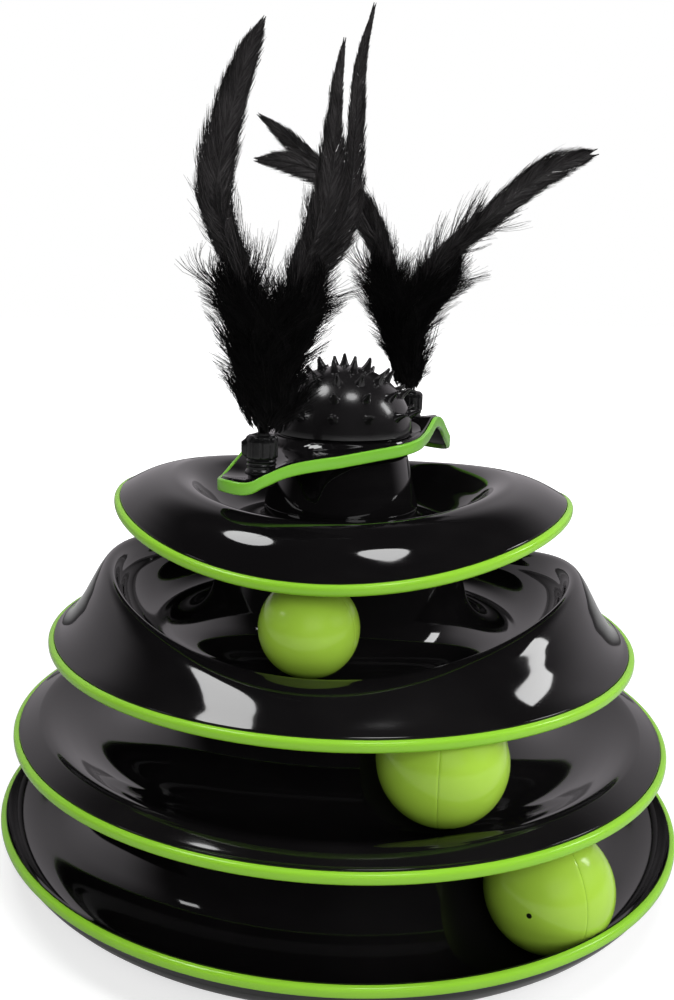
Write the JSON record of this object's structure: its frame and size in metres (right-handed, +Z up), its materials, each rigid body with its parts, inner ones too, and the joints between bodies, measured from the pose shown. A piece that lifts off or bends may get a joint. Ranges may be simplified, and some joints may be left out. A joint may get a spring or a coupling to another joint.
{
  "type": "cat ball track toy",
  "caption": "Stacked round ball-track tower with captive rolling balls, a spiked dome on a pedestal, and a turning wavy arm that carries feather plumes.",
  "frame": {"origin": "on the tower's axis, at the level of the surface that the rubber feet stand on", "axes": "+Z up along the tower's axis, -Y towards the front, where the picture's camera stands, +X to the right as seen from the front"},
  "size_m": [0.2598, 0.2598, 0.3062],
  "materials": {
    "gloss_black": "high-gloss moulded black ABS with soft wide reflections",
    "dome_black": "glossy black soft plastic, slightly softer sheen than the trays",
    "clamp_black": "satin black plastic",
    "lime_band": "satin-gloss lime green trim",
    "lime_ball": "glossy slightly pale lime green hollow ball",
    "foot_rubber": "dull dark rubber",
    "steel": "zinc-plated steel",
    "washer_white": "natural nylon",
    "ferrule_black": "black heat-shrink sleeve",
    "black_down": "soft black down, hair-like and dull",
    "black_feather": "black feather vanes with fine barbs and a faint sheen"
  },
  "bodies": {
    "tower": {"base_tray": "gloss_black", "base_band": "lime_band", "middle_tray": "gloss_black", "middle_band": "lime_band", "upper_tray": "gloss_black", "upper_band": "lime_band", "top_dish": "gloss_black", "dish_band": "lime_band", "pedestal": "gloss_black", "dome_collar": "gloss_black", "spiked_dome": "dome_black", "dome_screw": "steel", "screw_washer": "steel", "slip_washer": "washer_white", "rubber_feet": "foot_rubber"},
    "spinner": {"spinner_arm": "gloss_black", "arm_band_front": "lime_band", "arm_band_rear": "lime_band", "front_socket": "clamp_black", "rear_socket": "clamp_black", "front_ferrule": "ferrule_black", "rear_ferrule": "ferrule_black", "front_tuft": "black_down", "rear_tuft": "black_down", "front_feather_1": "black_feather", "front_feather_2": "black_feather", "front_feather_3": "black_feather", "rear_feather_1": "black_feather", "rear_feather_2": "black_feather", "rear_feather_3": "black_feather"},
    "front_clamp": {"front_nut": "clamp_black"},
    "rear_clamp": {"rear_nut": "clamp_black"},
    "base_ball": {"base_ball_left": "lime_ball", "base_ball_right": "lime_ball"},
    "middle_ball": {"middle_ball_left": "lime_ball", "middle_ball_right": "lime_ball"},
    "upper_ball": {"upper_ball_left": "lime_ball", "upper_ball_right": "lime_ball"}
  },
  "joints": [
    {"name": "spinner_turn", "type": "hinge", "parent": "tower", "child": "spinner", "pos_m": [0, 0, 0.158], "axis": [0, 0, 1], "continuous": true},
    {"name": "front_clamp_turn", "type": "hinge", "parent": "spinner", "child": "front_clamp", "pos_m": [-0.02995, -0.04386, 0.165], "axis": [0, 0, 1], "range_deg": [0, 90]},
    {"name": "rear_clamp_turn", "type": "hinge", "parent": "spinner", "child": "rear_clamp", "pos_m": [0.02995, 0.04386, 0.17], "axis": [0, 0, 1], "range_deg": [0, 90]},
    {"name": "base_ball_orbit", "type": "hinge", "parent": "tower", "child": "base_ball", "pos_m": [0, 0, 0.026], "axis": [0, 0, 1], "continuous": true},
    {"name": "middle_ball_orbit", "type": "hinge", "parent": "tower", "child": "middle_ball", "pos_m": [0, 0, 0.071], "axis": [0, 0, 1], "continuous": true},
    {"name": "upper_ball_orbit", "type": "hinge", "parent": "tower", "child": "upper_ball", "pos_m": [0, 0, 0.1077], "axis": [0, 0, 1], "continuous": true}
  ]
}
